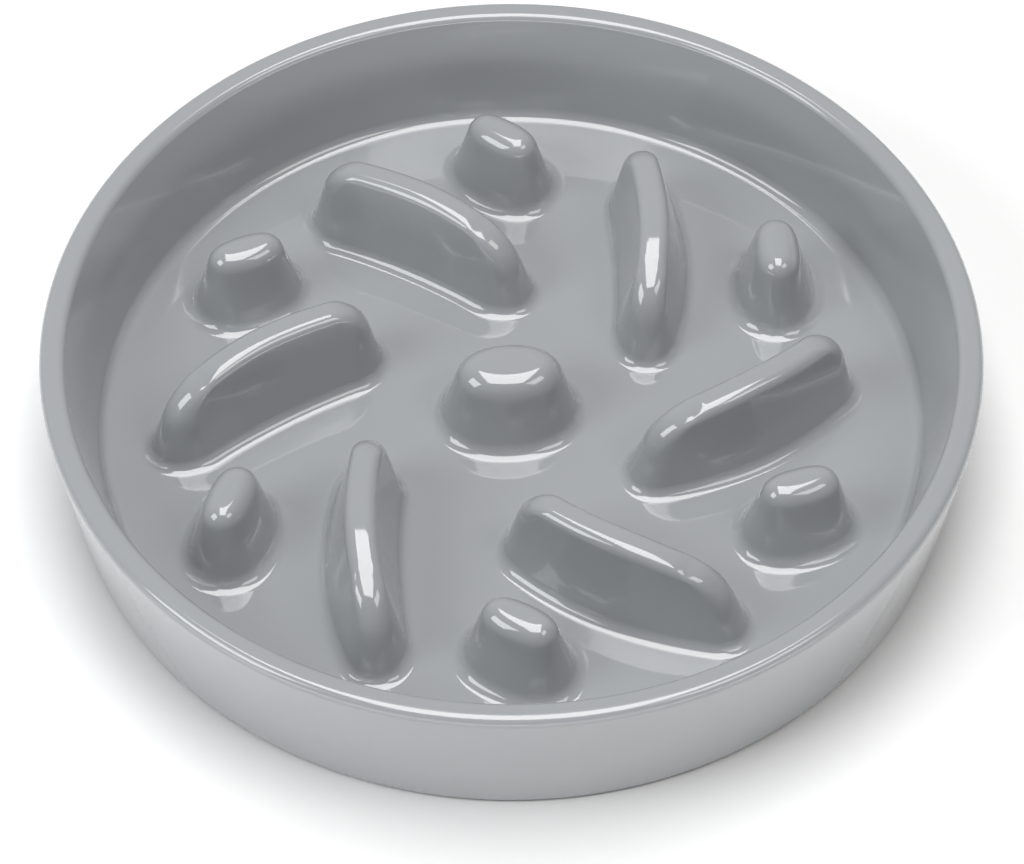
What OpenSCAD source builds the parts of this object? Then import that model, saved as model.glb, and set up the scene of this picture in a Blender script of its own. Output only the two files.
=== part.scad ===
// Slow feeder bowl: one glossy moulding with a pinwheel of curved ridges and
// leaning oval pegs raised from its floor, standing on six soft rubber feet.
// The origin is on the table, under the middle of the bowl.

/* [Bowl] */
// Outside diameter at the rim
rim_d = 200; // [180:1:230]
// How much further out the rim stands than the standing edge
wall_flare = 4.5; // [2:0.1:8]
// Height from the standing edge to the rim
bowl_h = 34; // [31:0.5:45]
// Width of the lip
lip_w = 5.3; // [4:0.1:8]
// Rounding of both edges of the lip
lip_round = 1.8; // [0.5:0.1:2]
// Thickness of the wall where it meets the floor
wall_root_t = 7.7; // [6.5:0.1:9]
// Height of the floor above the standing edge
floor_h = 7.6; // [6.5:0.1:9]
// Thickness of the floor and of the hollow forms
wall_t = 2.5; // [2:0.1:2.6]
// Thickness of the skirt at the standing edge
skirt_t = 5.6; // [4:0.1:6.5]
// Rounding where the inside wall meets the floor
well_round = 3; // [1:0.1:4]
// Rounding of the standing edge
base_round = 0.8; // [0.3:0.1:1.5]

/* [Ridges] */
// Distance of each ridge's middle from the bowl's middle, as a share of the well's radius
ridge_ring_share = 0.578; // [0.56:0.002:0.59]
// Bearing of the first ridge's middle
ridge_bearing = 55.5; // [53:0.5:58]
// Angle from a ridge's length to the line that runs out through its middle
ridge_lean = 37.6; // [35:0.2:40]
// Width of a ridge's top before the crown is rounded
ridge_w = 5.2; // [4.9:0.1:7]
// Radius that a ridge's middle line is bent to
ridge_bend_r = 96; // [80:1:120]
// Angle that a ridge runs through round the centre of its bend, without its ends
ridge_sweep = 24.2; // [20:0.1:25]
// Height of the ridges above the floor
ridge_h = 20; // [16:0.1:21]
// Slope of a ridge's sides away from upright, in degrees
ridge_draft = 14.5; // [12:0.1:16]
// Rounding along the top of a ridge
ridge_crown_r = 2; // [1:0.1:2.4]
// Rounding of a ridge's top down towards each end
ridge_end_r = 16; // [9:0.5:17]
// Rounding where a ridge grows out of the floor
ridge_root_r = 2.6; // [1:0.1:3]

/* [Pegs] */
// Distance of each oval peg from the bowl's middle, as a share of the well's radius
peg_ring_share = 0.767; // [0.75:0.002:0.775]
// Bearing of the first peg
peg_bearing = 31.2; // [30:0.2:32.4]
// Angle from a peg's length to the line that runs out through it
peg_lean = 52.7; // [46:0.1:60]
// Length of a peg's top before the crown is rounded
peg_l = 15.2; // [13.5:0.1:16]
// Width of a peg's top before the crown is rounded
peg_w = 7.4; // [6.8:0.1:8.5]
// Height of the pegs above the floor
peg_h = 17; // [13:0.1:19]
// Slope of a peg's sides away from upright, in degrees, here and on the centre peg
peg_draft = 16.3; // [12:0.1:17]
// Rounding of a peg's top edge, here and on the centre peg
peg_crown_r = 3.4; // [2:0.1:3.8]
// Rounding where a peg grows out of the floor, here and on the centre peg
peg_root_r = 3; // [1:0.1:3.4]

/* [Centre peg] */
// Length of the centre peg's top before the crown is rounded
hub_l = 20.3; // [18:0.1:23]
// Width of the centre peg's top before the crown is rounded
hub_w = 14; // [13:0.1:16.5]
// Bearing of its length
hub_bearing = -1; // [-10:1:10]
// Height above the floor
hub_h = 16; // [13:0.1:18]

/* [Feet] */
// Distance of each foot's middle from the inside of the skirt
foot_inset = 8.9; // [8.4:0.1:10]
// Bearing of the first foot
foot_bearing = 15.5; // [14:0.5:17]
// Diameter of a foot
foot_d = 9.6; // [7:0.1:10]
// How far the feet stand below the standing edge
foot_proud = 0.5; // [0.3:0.1:1.2]
// Depth of the socket that holds a foot
socket_depth = 1.8; // [1:0.1:2]
// Wall of the boss round a socket
boss_wall = 1.5; // [1:0.1:1.8]
// Gap all round a foot in its socket
foot_gap = 0.2; // [0.1:0.05:0.3]
// Rounding of a foot's lower edge
foot_round = 0.5; // [0.2:0.1:0.8]

/* [Hidden] */
NODES = ["bowl", "foot_1", "foot_2", "foot_3", "foot_4", "foot_5", "foot_6"];
$fn = 96;
// Steps along each rounded corner of an outline
corner_steps = 6;
// How far cutting shapes run past what they cut
overrun = 1;
// How far inside the standing edge the bosses stop
boss_rise = 0.4;
// How much wider a raised form is at its round ends
end_swell = 0.1;
// Smallest rounding inside a hollow
hollow_round = 0.5;
// How far the arc that rounds a ridge's top runs out past the slope of its end
end_ease = 0.6;
// Share of the skirt's inner height that its upper corner is rounded over
under_round_share = 0.8;
shell_colour = [0.64, 0.66, 0.67];
rubber_colour = [0.16, 0.16, 0.17];

rim_z = foot_proud + bowl_h;
floor_z = foot_proud + floor_h;
under_z = floor_z - wall_t;
wall_lean = atan(wall_flare / bowl_h);
base_r = rim_d / 2 - wall_flare;
// The lip's outer corner before it is rounded, and its inner one
lip_r = rim_d / 2 + lip_round * (1 / cos(wall_lean) + tan(wall_lean) - 1);
mouth_r = rim_d / 2 - lip_w;
well_r = base_r + floor_h * tan(wall_lean) - wall_root_t;
skirt_r = base_r - skirt_t;
under_round = under_round_share * (floor_h - wall_t - base_round);
foot_ring_r = skirt_r - foot_inset;
foot_top_z = foot_proud + boss_rise + socket_depth;
boss_r = foot_d / 2 + foot_gap + boss_wall;
// One ridge, one peg and one foot for each repeat
repeat_count = len(NODES) - 1;
step_angle = 360 / repeat_count;

// Points of an arc, starting at the angle from and turning by turn
function arc(centre, r, from, turn) =
  [for (i = [0:corner_steps]) let (w = from + turn * i / corner_steps) centre + r * [cos(w), sin(w)]];
function unit(v) = v / norm(v);
// Points of the corner at p, rounded with radius r, between the edges to a and to b
function corner(a, p, b, r) =
  r == 0 ? [p] :
  let (u = unit(a - p), v = unit(b - p), half = acos(u * v) / 2)
  let (centre = p + unit(u + v) * r / sin(half))
  let (from = p + u * r / tan(half) - centre, to = p + v * r / tan(half) - centre)
  arc(centre, r, atan2(from[1], from[0]), atan2(from[0] * to[1] - from[1] * to[0], from * to));
// An outline given as a list of corners, each [point, radius]
function rounded(corners) =
  let (n = len(corners))
  [for (i = [0:n - 1])
    each corner(corners[(i + n - 1) % n][0], corners[i][0], corners[(i + 1) % n][0], corners[i][1])];

// Half section of the wall, lip, floor and skirt
module shell_section() {
  polygon(rounded([
    [[0, floor_z], 0],
    [[well_r, floor_z], well_round],
    [[mouth_r, rim_z], lip_round],
    [[lip_r, rim_z], lip_round],
    [[base_r, foot_proud], base_round],
    [[skirt_r, foot_proud], base_round],
    [[skirt_r, under_z], under_round],
    [[0, under_z], 0]]));
}

// How far the edge of a flat top moves in when it gets a rounded crown
function crown_run(draft, crown_r) = crown_r * tan(45 - draft / 2);

// Edge of a raised form of half width half_w, from its flat top down over the
// rounded crown, the sloping side and a rounded root, or a sharp one where root_r
// is zero, into the floor by sink. Up, zero is the floor.
function edge(half_w, h, draft, crown_r, root_r, sink) =
  let (toe_x = half_w + h * tan(draft) + (root_r > 0 ? crown_run(draft, root_r) : sink * tan(draft)))
  concat(
    arc([half_w - crown_run(draft, crown_r), h - crown_r], crown_r, 90, draft - 90),
    root_r > 0 ? arc([toe_x, root_r], root_r, 180 + draft, 90 - draft) : [],
    [[toe_x, -sink]]);
function flipped(points) = [for (i = [len(points) - 1:-1:0]) [-points[i][0], points[i][1]]];

// A round post whose side is that edge
module post(points) {
  rotate_extrude()
    polygon(concat([[0, points[len(points) - 1][1]], [0, points[0][1]]], points));
}

// A form that is bent round a centre on its -X side: a bar that runs into the
// middles of two posts, which are a little wider than it
module bent_form(bend_r, sweep, points, end_points) {
  translate([-bend_r * cos(sweep / 2), 0]) {
    rotate(-sweep / 2) rotate_extrude(angle = sweep)
      translate([bend_r, 0]) polygon(concat(points, flipped(points)));
    for (end = [-1, 1])
      rotate(end * sweep / 2) translate([bend_r, 0]) post(end_points);
  }
}

// A straight form along Y, made the same way
module straight_form(span, points, end_points) {
  rotate([90, 0, 0]) linear_extrude(span, center = true) polygon(concat(points, flipped(points)));
  for (end = [-1, 1])
    translate([0, end * span / 2]) post(end_points);
}

// Edge of a form as it is seen, or of the hollow behind it, which has a sharp
// mouth and is narrower at its top, so that the wall stays as thick
function form_edge(w, h, draft, crown_r, root_r, hollow) =
  hollow
  ? edge(w / 2 - crown_run(draft, wall_t), h, draft, max(crown_r - wall_t, hollow_round), 0, overrun)
  : edge(w / 2, h, draft, crown_r, root_r, wall_t / 2);

// What is cut away to round the top of a ridge over towards each end with radius
// r, from the height h down to the slope of the end
module end_cutters(h, r) {
  top_end = ridge_bend_r * sin(ridge_sweep / 2) + ridge_w / 2;
  start = top_end - crown_run(ridge_draft, ridge_end_r) + end_ease;
  far = top_end + h;
  // The arc starts just above the top, so that its first step cuts across it
  step = (90 - ridge_draft) / corner_steps;
  rim = arc([start, h - r * cos(step / 2)], r, 90, ridge_draft - 90);
  for (end = [0, 1]) mirror([0, end, 0])
    rotate([90, 0, 90]) linear_extrude(h + ridge_w, center = true)
      polygon(concat(rim, [[far, rim[corner_steps][1]], [far, h + overrun], [start, h + overrun]]));
}

module ridge(hollow) {
  difference() {
    bent_form(ridge_bend_r, ridge_sweep,
      form_edge(ridge_w, ridge_h, ridge_draft, ridge_crown_r, ridge_root_r, hollow),
      form_edge(ridge_w + end_swell, ridge_h, ridge_draft, ridge_crown_r, ridge_root_r, hollow));
    end_cutters(ridge_h, ridge_end_r - (hollow ? wall_t : 0));
  }
}

module peg(l, w, h, hollow) {
  straight_form(l - w,
    form_edge(w, h, peg_draft, peg_crown_r, peg_root_r, hollow),
    form_edge(w + end_swell, h, peg_draft, peg_crown_r, peg_root_r, hollow));
}

// Everything that stands up from the floor, or with hollow its underside
module raised_pattern(hollow) {
  translate([0, 0, hollow ? under_z : floor_z]) {
    for (i = [0:repeat_count - 1]) rotate(i * step_angle) {
      rotate(ridge_bearing) translate([ridge_ring_share * well_r, 0, 0])
        rotate(ridge_lean - 90) ridge(hollow);
      rotate(peg_bearing) translate([peg_ring_share * well_r, 0, 0])
        rotate(peg_lean - 90) peg(peg_l, peg_w, peg_h, hollow);
    }
    rotate(hub_bearing - 90) peg(hub_l, hub_w, hub_h, hollow);
  }
}

module at_foot(i) {
  rotate(foot_bearing + i * step_angle) translate([foot_ring_r, 0, 0]) children();
}

module bowl() {
  color(shell_colour) difference() {
    union() {
      difference() {
        union() {
          rotate_extrude() shell_section();
          raised_pattern(false);
        }
        raised_pattern(true);
      }
      for (i = [0:repeat_count - 1]) at_foot(i)
        translate([0, 0, foot_proud + boss_rise])
          cylinder(r = boss_r, h = under_z + wall_t / 2 - foot_proud - boss_rise);
    }
    for (i = [0:repeat_count - 1]) at_foot(i)
      translate([0, 0, foot_proud + boss_rise - overrun])
        cylinder(r = foot_d / 2 + foot_gap, h = socket_depth + overrun);
  }
}

// Soft pad bonded to the end of its socket
module foot(i) {
  color(rubber_colour) at_foot(i)
    rotate_extrude()
      polygon(rounded([
        [[0, 0], 0],
        [[foot_d / 2, 0], foot_round],
        [[foot_d / 2, foot_top_z], 0],
        [[0, foot_top_z], 0]]));
}

bowl();
foot(0);  // foot_1
foot(1);  // foot_2
foot(2);  // foot_3
foot(3);  // foot_4
foot(4);  // foot_5
foot(5);  // foot_6
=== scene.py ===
import bmesh
import bpy
import numpy as np
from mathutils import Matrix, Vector
from mathutils.geometry import delaunay_2d_cdt


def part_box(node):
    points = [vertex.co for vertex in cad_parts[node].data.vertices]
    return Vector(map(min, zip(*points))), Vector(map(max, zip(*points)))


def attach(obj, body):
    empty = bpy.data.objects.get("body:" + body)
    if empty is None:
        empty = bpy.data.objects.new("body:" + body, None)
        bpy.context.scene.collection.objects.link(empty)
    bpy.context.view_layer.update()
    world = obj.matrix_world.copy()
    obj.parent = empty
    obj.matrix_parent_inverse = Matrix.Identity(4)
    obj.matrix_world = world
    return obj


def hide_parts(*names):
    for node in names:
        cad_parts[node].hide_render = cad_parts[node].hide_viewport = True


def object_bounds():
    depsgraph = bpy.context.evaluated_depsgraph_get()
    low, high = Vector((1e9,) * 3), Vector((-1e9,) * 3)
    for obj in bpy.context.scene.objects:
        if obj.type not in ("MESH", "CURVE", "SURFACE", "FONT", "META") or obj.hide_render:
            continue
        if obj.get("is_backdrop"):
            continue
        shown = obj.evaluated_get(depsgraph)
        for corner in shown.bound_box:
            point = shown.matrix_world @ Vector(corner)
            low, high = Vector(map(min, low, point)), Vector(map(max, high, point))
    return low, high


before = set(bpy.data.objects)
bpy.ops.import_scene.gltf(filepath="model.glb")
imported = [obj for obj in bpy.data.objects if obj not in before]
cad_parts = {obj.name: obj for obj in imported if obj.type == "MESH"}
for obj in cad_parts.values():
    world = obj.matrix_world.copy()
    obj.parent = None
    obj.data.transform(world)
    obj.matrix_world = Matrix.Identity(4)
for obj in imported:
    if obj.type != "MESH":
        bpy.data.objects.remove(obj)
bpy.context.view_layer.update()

# The bowl. One high-gloss grey plastic moulding: wall, lip, floor and skirt, with six ridges, six
# pegs and a middle peg, all hollow from below. It has no seam, so it is one closed skin, welded
# from grids that formulas give. Up to build() it is in millimetres, with the table at zero.
STAND, RIM, FLOOR, WALL = 0.5, 34.5, 8.1, 2.5
UNDER = FLOOR - WALL


def arc(centre, r, start, turn, steps):
    """Points centre + r (cos w, sin w) for w from start over turn, in degrees."""
    w = np.radians(start + turn * np.linspace(0, 1, steps + 1))
    return np.c_[centre[0] + r * np.cos(w), centre[1] + r * np.sin(w)]


def corner(a, p, b, r, steps=10):
    """The corner at p between the edges to a and b, rounded with radius r."""
    a, p, b = (np.asarray(q, float) for q in (a, p, b))
    u, v = (a - p) / np.linalg.norm(a - p), (b - p) / np.linalg.norm(b - p)
    half = np.arccos(u @ v) / 2
    c = p + (u + v) / np.linalg.norm(u + v) * r / np.sin(half)
    s, e = p + u * r / np.tan(half) - c, p + v * r / np.tan(half) - c
    turn = np.degrees(np.arctan2(s[0] * e[1] - s[1] * e[0], s @ e))
    return arc(c, r, np.degrees(np.arctan2(s[1], s[0])), turn, steps)


def turned(profile, steps=256):
    """A profile of (radius, height) turned round Z: radius (cos t, sin t) at each height."""
    t = np.linspace(0, 2 * np.pi, steps, endpoint=False)
    r, z = profile.T
    heights = np.repeat(z[:, None], steps, 1)
    return np.stack([r[:, None] * np.cos(t), r[:, None] * np.sin(t), heights], -1)


def placed(pts, x, y, turn):
    """Points turned by turn degrees round Z and moved to x, y."""
    c, s = np.cos(np.radians(turn)), np.sin(np.radians(turn))
    out = pts.copy()
    out[..., 0] = c * pts[..., 0] - s * pts[..., 1] + x
    out[..., 1] = s * pts[..., 0] + c * pts[..., 1] + y
    return out


class Skin:
    """Vertices and faces of one mesh, put together from grids and flat plates."""

    def __init__(self):
        self.verts, self.faces, self.count = [], [], 0

    def grid(self, pts, flip):
        """pts[i, j] as quads, closed round j. They look along d/dj x d/di, with flip against it."""
        rows, columns = pts.shape[:2]
        here = self.count + np.arange(rows * columns).reshape(rows, columns)
        beside = np.roll(here, -1, 1)
        quads = np.stack([here[:-1], beside[:-1], beside[1:], here[1:]], -1).reshape(-1, 4)
        self.verts.append(pts.reshape(-1, 3))
        self.faces += (quads[:, ::-1] if flip else quads).tolist()
        self.count += rows * columns

    def plate(self, outer_r, holes, z, face_down):
        """The flat at height z between a circle of radius outer_r and the loops in holes: a
        constrained Delaunay triangulation, less the triangles whose middle lies inside a loop."""
        t = np.linspace(0, 2 * np.pi, 256, endpoint=False)
        loops = [outer_r * np.c_[np.cos(t), np.sin(t)]] + holes
        edges, start = [], 0
        for loop in loops:
            i = start + np.arange(len(loop))
            edges += np.c_[i, np.roll(i, -1)].tolist()
            start += len(loop)
        points = [Vector(p) for p in np.concatenate(loops)]
        verts, _, tris, *_ = delaunay_2d_cdt(points, edges, [], 0, 1e-7)
        verts, tris = np.array([tuple(p) for p in verts]), np.array(tris)
        mid = verts[tris].mean(1)
        keep = np.hypot(*mid.T) < outer_r
        for a in holes:
            # A ray from inside a loop crosses it an odd number of times
            b = np.roll(a, -1, 0)
            with np.errstate(divide="ignore", invalid="ignore"):
                slope = (b[:, 0] - a[:, 0]) / (b[:, 1] - a[:, 1])
                x = a[:, 0] + (mid[:, 1:2] - a[:, 1]) * slope
            crosses = ((a[:, 1] > mid[:, 1:2]) != (b[:, 1] > mid[:, 1:2])) & (mid[:, :1] < x)
            keep &= crosses.sum(1) % 2 == 0
        tris = tris[keep]
        p, q, r = verts[tris].transpose(1, 0, 2)
        up = (q - p)[:, 0] * (r - p)[:, 1] - (q - p)[:, 1] * (r - p)[:, 0] > 0
        tris[up == face_down] = tris[up == face_down][:, ::-1]
        self.verts.append(np.c_[verts, np.full(len(verts), z)])
        self.faces += (self.count + tris).tolist()
        self.count += len(verts)

    def build(self, name):
        """The object, in metres, with points that coincide merged and its corners kept sharp."""
        mesh = bpy.data.meshes.new(name)
        mesh.from_pydata((np.concatenate(self.verts) / 1000).tolist(), [], self.faces)
        obj = bpy.data.objects.new(name, mesh)
        bpy.context.collection.objects.link(obj)
        bm = bmesh.new()
        bm.from_mesh(mesh)
        bmesh.ops.remove_doubles(bm, verts=bm.verts, dist=2e-6)
        bm.to_mesh(mesh)
        bm.free()
        mesh.polygons.foreach_set("use_smooth", [True] * len(mesh.polygons))
        mesh.set_sharp_from_angle(angle=float(np.radians(35)))
        mesh.update()
        return obj


def slope_run(depth, r, draft):
    """How far out a form is at a depth below its top: an arc of radius r, then a side at draft."""
    d = np.radians(draft)
    arc_depth = r * (1 - np.sin(d))
    on_arc = np.sqrt(np.clip(2 * r * depth - depth ** 2, 0, None))
    return np.where(depth < arc_depth, on_arc, r * np.cos(d) + (depth - arc_depth) * np.tan(d))


def flank(h, draft, crown, root, rows, guard=0.3):
    """Side view of a form as (distance out, height): crown arc, side at draft in rows that lie
    closer towards its ends, then a root arc that runs out on the floor, or none where root is 0."""
    crown_arc = arc((0, h - crown), crown, 90, draft - 90, 8)
    d = np.radians(draft)
    low = root * (1 - np.sin(d))
    foot_x = crown_arc[-1, 0] + (crown_arc[-1, 1] - low) * np.tan(d)
    share = (1 - np.cos(np.pi * np.arange(1, rows + 1) / rows))[:, None] / 2
    side = np.concatenate([crown_arc, crown_arc[-1] + share * ((foot_x, low) - crown_arc[-1])])
    if root:
        toe = foot_x + root * np.cos(d)
        root_arc = arc((toe, root), root, 180 + draft, 90 - draft, 8)[1:]
        side = np.concatenate([side, root_arc, [(toe + guard, 0)]])
    return side


# Rows between the middle line of a form's top and the edge of its flat
TOP = np.array([0, 0.35, 0.7, 0.9])


def bent_bars(turns, r, bend, taper, side=32, end=24):
    """Outlines of bars bent along an arc of radius bend, one row each: round ends of radius r about
    the points at the two angles in turns, sides at r from the arc between them, drawn in by up to
    taper towards the ends."""
    lo, hi, r = (np.asarray(q, float)[:, None] for q in (turns[0], turns[1], r))
    u, v = (np.arange(side) + 0.5) / side, (np.arange(end) + 0.5) / end * np.pi
    w = np.concatenate([lo + (hi - lo) * u, hi + 0 * v, hi + (lo - hi) * u, lo + 0 * v], 1)
    back = lo + np.pi
    phi = np.concatenate([lo + (hi - lo) * u, hi + v, back + (hi - lo) * (1 - u), back + v], 1)
    x, y = bend * np.cos(w) + r * np.cos(phi) - bend, bend * np.sin(w) + r * np.sin(phi)
    along = y / np.abs(y).max(1)[:, None]
    x = x - np.asarray(taper)[:, None] * np.cos(phi) * np.abs(np.cos(phi)) * along ** 2
    return np.stack([x, y], -1)


def ridge(base_z, ends, half_w, crown, root, h=20, draft=14.5, bend=96, taper=2.2):
    """Grid of a ridge from its crest out. At each height its outline is a bent bar: the sides
    follow flank(), and each end, given as (reach of the crest, rounding, draft, sink of the crest),
    runs out by its own slope_run()."""
    side = flank(h, draft, crown, root, rows=14)
    depth = h - np.maximum(side[:, 1], root * (1 - np.sin(np.radians(draft))))
    w = half_w + side[:, 0]
    turns = []
    for sign, (reach, end_r, end_draft, _) in zip((-1, 1), ends):
        more = slope_run(depth, end_r, end_draft) - slope_run(depth, crown, draft)
        turns.append(sign * np.arcsin((reach + side[:, 0] + more - w) / bend))
    crest_turns = [turn[0] + 0 * TOP for turn in turns]
    crest = bent_bars(crest_turns, half_w * TOP, bend, 0 * TOP)
    rows = np.concatenate([crest, bent_bars(turns, w, bend, taper * depth / h)])
    z = np.concatenate([h + 0 * TOP, side[:, 1]])[:, None] + 0 * rows[..., 0]
    reach, sink = (np.where(rows[..., 1] < 0, ends[0][i], ends[1][i]) for i in (0, 3))
    z = z - np.minimum(sink * (rows[..., 1] / reach) ** 2, 2) * z / h
    return np.concatenate([rows, (z + base_z)[..., None]], -1)


def peg(base_z, a, b, h, crown, root, draft=16.3, columns=96):
    """Grid of an oval peg from its middle line out: a flat ellipse with half axes a along Y and b
    across, each row below it moved out along the ellipse's normals by flank()."""
    t = 2 * np.pi * (np.arange(columns) + 0.5) / columns
    edge = np.c_[b * np.cos(t), a * np.sin(t)]
    normal = np.c_[a * np.cos(t), b * np.sin(t)]
    normal /= np.linalg.norm(normal, axis=1)[:, None]
    mid = np.c_[0 * t, (a - b * b / a) * np.sin(t)]
    side = flank(h, draft, crown, root, rows=5)
    top = mid + TOP[:, None, None] * (edge - mid)
    rows = np.concatenate([top, edge + normal * side[:, 0, None, None]])
    z = np.concatenate([h + 0 * TOP, side[:, 1]])[:, None] + np.zeros(columns)
    return np.concatenate([rows, (z + base_z)[..., None]], -1)


# Half section of wall, lip, inner wall and skirt, between the two flats
moulding = Skin()
well_flat_r, under_flat_r = 86.0, 87.8
section = [(88.8, FLOOR), (94.75, RIM), (100.25, RIM), (95.5, STAND), (89.9, STAND), (89.9, UNDER)]
moulding.grid(turned(np.concatenate([
    [(well_flat_r, FLOOR)],
    corner((0, FLOOR), section[0], section[1], 3.0),
    corner(section[0], section[1], section[2], 1.8),
    corner(section[1], section[2], section[3], 1.8),
    corner(section[2], section[3], section[4], 0.8, 6),
    corner(section[3], section[4], section[5], 0.8, 6),
    corner(section[4], section[5], (0, UNDER), 2.0),
    [(under_flat_r, UNDER)],
])), flip=True)

# Each raised form is put in as its outside and, with smaller radii and no root, the hollow under
# it. Both leave a loop in the flat that they grow from.
floor_holes, under_holes = [], []


def put(outside, hollow, x, y, turn):
    """Both grids of one form at their place."""
    for grid, flip, holes in ((outside, True, floor_holes), (hollow, False, under_holes)):
        pts = placed(grid, x, y, turn)
        moulding.grid(pts, flip)
        holes.append(pts[-1, :, :2])


def put_peg(x, y, bearing, a, b, h, crown):
    """One peg, its length pointing along bearing."""
    outside = peg(FLOOR, a, b, h, crown, root=3.5)
    put(outside, peg(UNDER, a, b, h, crown - WALL, root=0), x, y, bearing - 90)


put_peg(-0.5, 0.2, 5, a=6.3, b=2.6, h=16.7, crown=5.4)
# Where the photograph has each peg, and the way its length points
for x, y, bearing in ((58.5, 34.9, 92), (-2.0, 68.7, 145.5), (-58.4, 33.6, 203.5),
                      (-58.8, -34.6, 251.5), (1.7, -66.6, 330.5), (60.5, -31.6, 378.5)):
    put_peg(x, y, bearing, a=4.5, b=0.9, h=17.0, crown=4.2)

# Six ridges in a ring. Their low ends all point towards the photograph's viewer, and each
# reaches a little further than the first at its low and its high end.
ring_r, first_bearing, first_turn, arc_offset = 52.0, 54.5, 2.1, 1.06
for k, (low_more, high_more) in enumerate(
        ((0, 0), (1.2, 0), (1.5, 1.0), (0, 1.5), (0.8, 0.6), (1.0, 0.9))):
    ends = [(12.5 + low_more, 14, 18.5, 1.3), (13.5 + high_more, 9, 14, 0.3)]
    if k in (2, 3, 4):
        ends.reverse()
    inner_ends = [(reach, r - WALL, draft, sink) for reach, r, draft, sink in ends]
    outside = ridge(FLOOR, ends, half_w=1.0, crown=2.6, root=3.0)
    hollow = ridge(UNDER, inner_ends, half_w=0.46, crown=0.5, root=0)
    bearing, turn = np.radians(60 * k + first_bearing), np.radians(60 * k + first_turn)
    put(outside, hollow, ring_r * np.cos(bearing) + arc_offset * np.cos(turn),
        ring_r * np.sin(bearing) + arc_offset * np.sin(turn), 60 * k + first_turn)

# Six low bosses under the floor, each with a socket 0.2 mm wider than the foot bonded in it
foot_r, foot_gap, socket_depth, boss_rise, boss_wall = 4.8, 0.2, 1.8, 0.4, 1.5
socket_r, mouth_z = foot_r + foot_gap, STAND + boss_rise
boss_r, socket_z = socket_r + boss_wall, mouth_z + socket_depth
boss = turned(np.concatenate([
    [(0, socket_z), (socket_r, socket_z)],
    corner((socket_r, socket_z), (socket_r, mouth_z), (boss_r, mouth_z), 0.25, 4),
    corner((socket_r, mouth_z), (boss_r, mouth_z), (boss_r, UNDER), 0.4, 4),
    [(boss_r, UNDER)],
]), 48)
feet = {name: node for name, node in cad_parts.items() if name.startswith("foot")}
for name in feet:
    lo, hi = (1000 * np.array(end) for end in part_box(name))
    pts = placed(boss, *(lo[:2] + hi[:2]) / 2, 0)
    moulding.grid(pts, flip=False)
    under_holes.append(pts[-1, :, :2])

moulding.plate(well_flat_r, floor_holes, FLOOR, face_down=False)
moulding.plate(under_flat_r, under_holes, UNDER, face_down=True)
bowl = moulding.build("bowl_moulding")
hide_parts("bowl")
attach(bowl, "root")

gloss = bpy.data.materials.new("polished_grey_moulding")
gloss.use_nodes = True
nodes, links = gloss.node_tree.nodes, gloss.node_tree.links
shader = nodes["Principled BSDF"]
shader.inputs["IOR"].default_value = 1.55
shader.inputs["Coat Weight"].default_value = 0.6
shader.inputs["Coat Roughness"].default_value = 0.02
place = nodes.new("ShaderNodeTexCoord")
# Slow drift of the pigment, a little of it in the polish as well
cloud = nodes.new("ShaderNodeTexNoise")
cloud.inputs["Scale"].default_value = 18
cloud.inputs["Detail"].default_value = 3
links.new(place.outputs["Object"], cloud.inputs["Vector"])
pigment = nodes.new("ShaderNodeMix")
pigment.data_type = "RGBA"
pigment.inputs[6].default_value = (0.318, 0.330, 0.342, 1)
pigment.inputs[7].default_value = (0.343, 0.355, 0.367, 1)
links.new(cloud.outputs["Fac"], pigment.inputs[0])
links.new(pigment.outputs[2], shader.inputs["Base Color"])
polish = nodes.new("ShaderNodeMapRange")
polish.inputs["To Min"].default_value = 0.05
polish.inputs["To Max"].default_value = 0.11
links.new(cloud.outputs["Fac"], polish.inputs["Value"])
links.new(polish.outputs["Result"], shader.inputs["Roughness"])
# The faint ripple that a mould leaves in a polished face
ripple = nodes.new("ShaderNodeTexNoise")
ripple.inputs["Scale"].default_value = 140
links.new(place.outputs["Object"], ripple.inputs["Vector"])
face = nodes.new("ShaderNodeBump")
face.inputs["Strength"].default_value = 0.05
face.inputs["Distance"].default_value = 0.0002
links.new(ripple.outputs["Fac"], face.inputs["Height"])
links.new(face.outputs["Normal"], shader.inputs["Normal"])
bowl.data.materials.append(gloss)

# The feet. Six round pads of soft black rubber, punched and bonded in the sockets of the bosses,
# half a millimetre proud of the skirt. They are kept as the CAD has them, with a matt, grainy skin.
rubber = bpy.data.materials.new("soft_rubber")
rubber.use_nodes = True
nodes, links = rubber.node_tree.nodes, rubber.node_tree.links
shader = nodes["Principled BSDF"]
shader.inputs["Roughness"].default_value = 0.75
place = nodes.new("ShaderNodeTexCoord")
grain = nodes.new("ShaderNodeTexNoise")
grain.inputs["Scale"].default_value = 900
links.new(place.outputs["Object"], grain.inputs["Vector"])
tone = nodes.new("ShaderNodeMix")
tone.data_type = "RGBA"
tone.inputs[6].default_value = (0.016, 0.016, 0.017, 1)
tone.inputs[7].default_value = (0.030, 0.030, 0.032, 1)
links.new(grain.outputs["Fac"], tone.inputs[0])
links.new(tone.outputs[2], shader.inputs["Base Color"])
rough = nodes.new("ShaderNodeBump")
rough.inputs["Strength"].default_value = 0.2
rough.inputs["Distance"].default_value = 0.0001
links.new(grain.outputs["Fac"], rough.inputs["Height"])
links.new(rough.outputs["Normal"], shader.inputs["Normal"])
for node in feet.values():
    node.data.materials.clear()
    node.data.materials.append(rubber)

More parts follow.
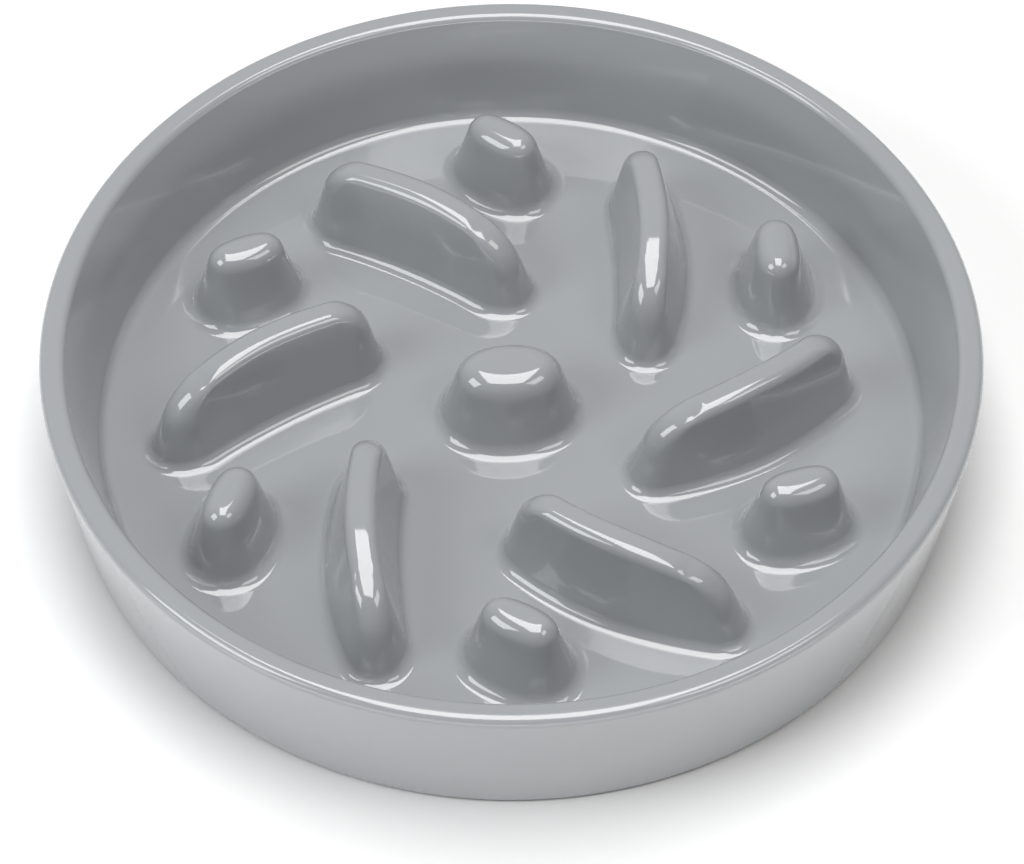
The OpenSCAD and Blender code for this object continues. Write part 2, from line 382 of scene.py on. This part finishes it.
# The table. A plain matt white sheet, far wider than the picture, that the bowl stands on.
sheet = bpy.data.meshes.new("floor")
sheet.from_pydata([(-3, -3, 0), (3, -3, 0), (3, 3, 0), (-3, 3, 0)], [], [(0, 1, 2, 3)])
floor = bpy.data.objects.new("floor", sheet)
bpy.context.collection.objects.link(floor)
white = bpy.data.materials.new("white_table")
white.use_nodes = True
shader = white.node_tree.nodes["Principled BSDF"]
shader.inputs["Base Color"].default_value = (0.93, 0.93, 0.93, 1)
shader.inputs["Roughness"].default_value = 0.8
shader.inputs["Specular IOR Level"].default_value = 0.0
sheet.materials.append(white)
floor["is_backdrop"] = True

# The studio. A dim surround, a little lighter behind the bowl, with a bright band low down in
# front of it, and three softboxes: one overhead and one on each side.
world = bpy.data.worlds.new("studio")
bpy.context.scene.world = world
world.use_nodes = True
nodes, links = world.node_tree.nodes, world.node_tree.links
look = nodes.new("ShaderNodeTexCoord")
axes = nodes.new("ShaderNodeSeparateXYZ")
links.new(look.outputs["Generated"], axes.inputs[0])


def fade(axis, start, end, low, high):
    """A smooth step from low to high, as a direction's part along axis goes from start to end."""
    node = nodes.new("ShaderNodeMapRange")
    node.interpolation_type = "SMOOTHSTEP"
    for key, value in (("From Min", start), ("From Max", end), ("To Min", low), ("To Max", high)):
        node.inputs[key].default_value = value
    links.new(axes.outputs[axis], node.inputs["Value"])
    return node.outputs["Result"]


def calc(operation, a, b):
    """One step of arithmetic on two sockets."""
    node = nodes.new("ShaderNodeMath")
    node.operation = operation
    links.new(a, node.inputs[0])
    links.new(b, node.inputs[1])
    return node.outputs[0]


band = calc("MULTIPLY", fade("Z", 0.02, 0.05, 0, 6), fade("Z", 0.09, 0.15, 1, 0))
ahead = calc("MULTIPLY", fade("Y", 0, -0.7, 0, 1), band)
behind = fade("Y", 0.1, 0.8, 0.07, 0.45)
links.new(calc("ADD", ahead, behind), nodes["Background"].inputs["Strength"])
nodes["Background"].inputs["Color"].default_value = (1, 1, 1, 1)


def softbox(name, bearing, height, size, strength, colour, distance=1.2):
    """A rectangular lamp aimed at the origin. Bearing runs from the camera's side (-Y) towards +X,
    height is its angle over the table, and its power is its brightness times its area."""
    a, e = np.radians(bearing), np.radians(height)
    lamp = bpy.data.lights.new(name, "AREA")
    lamp.shape, lamp.size, lamp.size_y = "RECTANGLE", size[0], size[1]
    lamp.energy, lamp.color = strength * np.pi * size[0] * size[1], colour
    obj = bpy.data.objects.new(name, lamp)
    obj.location = distance * Vector((np.sin(a) * np.cos(e), -np.cos(a) * np.cos(e), np.sin(e)))
    obj.rotation_mode = "QUATERNION"
    obj.rotation_quaternion = obj.location.to_track_quat("Z", "Y")
    bpy.context.collection.objects.link(obj)


softbox("overhead", 180, 86, (0.62, 0.98), 6.1, (1, 1, 1))
softbox("left", -66, 41, (0.56, 0.56), 5.0, (0.96, 0.985, 1))
softbox("right", 60, 55, (0.50, 0.36), 3.6, (1, 0.97, 0.94))

# The camera. A long lens from the front at about 51 degrees over the table, fitted to the ellipses
# of the photograph's rim, lip and floor. Its depth of field is off.
distance, over_table, pitch, raised = 0.845, np.radians(51.14), np.radians(51.093), 0.0005
camera = bpy.data.cameras.new("camera")
camera.sensor_fit, camera.sensor_width, camera.lens = "HORIZONTAL", 36, 135.8
camera.shift_x, camera.shift_y = 0.0006, 0.0
view = bpy.data.objects.new("camera", camera)
view.location = (0, -distance * np.cos(over_table), distance * np.sin(over_table) + raised)
view.rotation_euler = (np.pi / 2 - pitch, 0, 0)
bpy.context.collection.objects.link(view)
bpy.context.scene.camera = view
bpy.context.scene.view_settings.view_transform = "Standard"

lo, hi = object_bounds()
